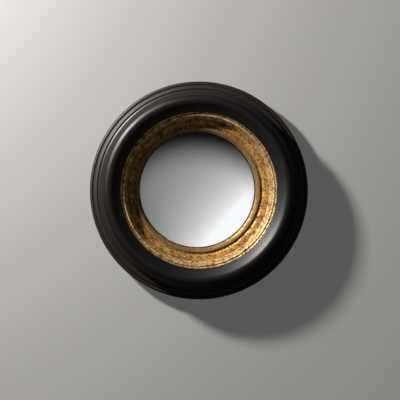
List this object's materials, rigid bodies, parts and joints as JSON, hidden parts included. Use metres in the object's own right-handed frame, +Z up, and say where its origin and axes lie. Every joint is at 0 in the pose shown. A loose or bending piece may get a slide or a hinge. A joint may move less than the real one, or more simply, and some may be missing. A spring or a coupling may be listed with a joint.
{
  "type": "convex wall mirror",
  "caption": "Small round convex butler's mirror in a stepped ebonised frame with a distressed gilt cove, with a backing board on turn buttons and a hanging ring.",
  "frame": {"origin": "the point of the wall plane behind the centre of the turned frame", "axes": "+Y points into the wall, -Y out of the mirror's face, +Z up"},
  "size_m": [0.27, 0.0444, 0.27],
  "materials": {
    "ebonised_wood": "turned wood with a satin ebonised finish, faint turning lines and a warm undertone",
    "gold_leaf": "gold leaf over red-brown bole, rubbed and distressed",
    "glass": "clear polished glass, bent to a dome",
    "silvering": "bright silver film on the back of the glass",
    "backing_paint": "dull grey mirror backing paint",
    "felt": "pressed grey felt",
    "hardboard": "smooth brown hardboard",
    "zinc_steel": "zinc plated pressed steel",
    "bumper_rubber": "matt black rubber"
  },
  "bodies": {
    "frame": {"ebonised_frame_ring": "ebonised_wood", "gilt_cove_ring": "gold_leaf", "gilt_sight_slip": "gold_leaf", "convex_glass": "glass", "silvering": "silvering", "backing_paint": "backing_paint", "packing_ring": "felt", "backing_board": "hardboard", "turn_button_screws": "zinc_steel", "hanger_strap": "zinc_steel", "hanger_screws": "zinc_steel", "wall_bumper_left": "bumper_rubber", "wall_bumper_right": "bumper_rubber"},
    "hanger_ring": {"hanger_ring": "zinc_steel"},
    "turn_button_1": {"turn_button_1": "zinc_steel"},
    "turn_button_2": {"turn_button_2": "zinc_steel"},
    "turn_button_3": {"turn_button_3": "zinc_steel"},
    "turn_button_4": {"turn_button_4": "zinc_steel"},
    "turn_button_5": {"turn_button_5": "zinc_steel"},
    "turn_button_6": {"turn_button_6": "zinc_steel"}
  },
  "joints": [
    {"name": "hanger_ring_swing", "type": "hinge", "parent": "frame", "child": "hanger_ring", "pos_m": [0, -0.00232, 0.12217], "axis": [-1, 0, 0], "range_deg": [0, 160]},
    {"name": "turn_button_1_pivot", "type": "hinge", "parent": "frame", "child": "turn_button_1", "pos_m": [-0.04749, -0.00385, 0.08226], "axis": [0, 1, 0], "continuous": true},
    {"name": "turn_button_2_pivot", "type": "hinge", "parent": "frame", "child": "turn_button_2", "pos_m": [-0.09499, -0.00385, 0], "axis": [0, 1, 0], "continuous": true},
    {"name": "turn_button_3_pivot", "type": "hinge", "parent": "frame", "child": "turn_button_3", "pos_m": [-0.04749, -0.00385, -0.08226], "axis": [0, 1, 0], "continuous": true},
    {"name": "turn_button_4_pivot", "type": "hinge", "parent": "frame", "child": "turn_button_4", "pos_m": [0.04749, -0.00385, -0.08226], "axis": [0, 1, 0], "continuous": true},
    {"name": "turn_button_5_pivot", "type": "hinge", "parent": "frame", "child": "turn_button_5", "pos_m": [0.09499, -0.00385, 0], "axis": [0, 1, 0], "continuous": true},
    {"name": "turn_button_6_pivot", "type": "hinge", "parent": "frame", "child": "turn_button_6", "pos_m": [0.04749, -0.00385, 0.08226], "axis": [0, 1, 0], "continuous": true}
  ]
}
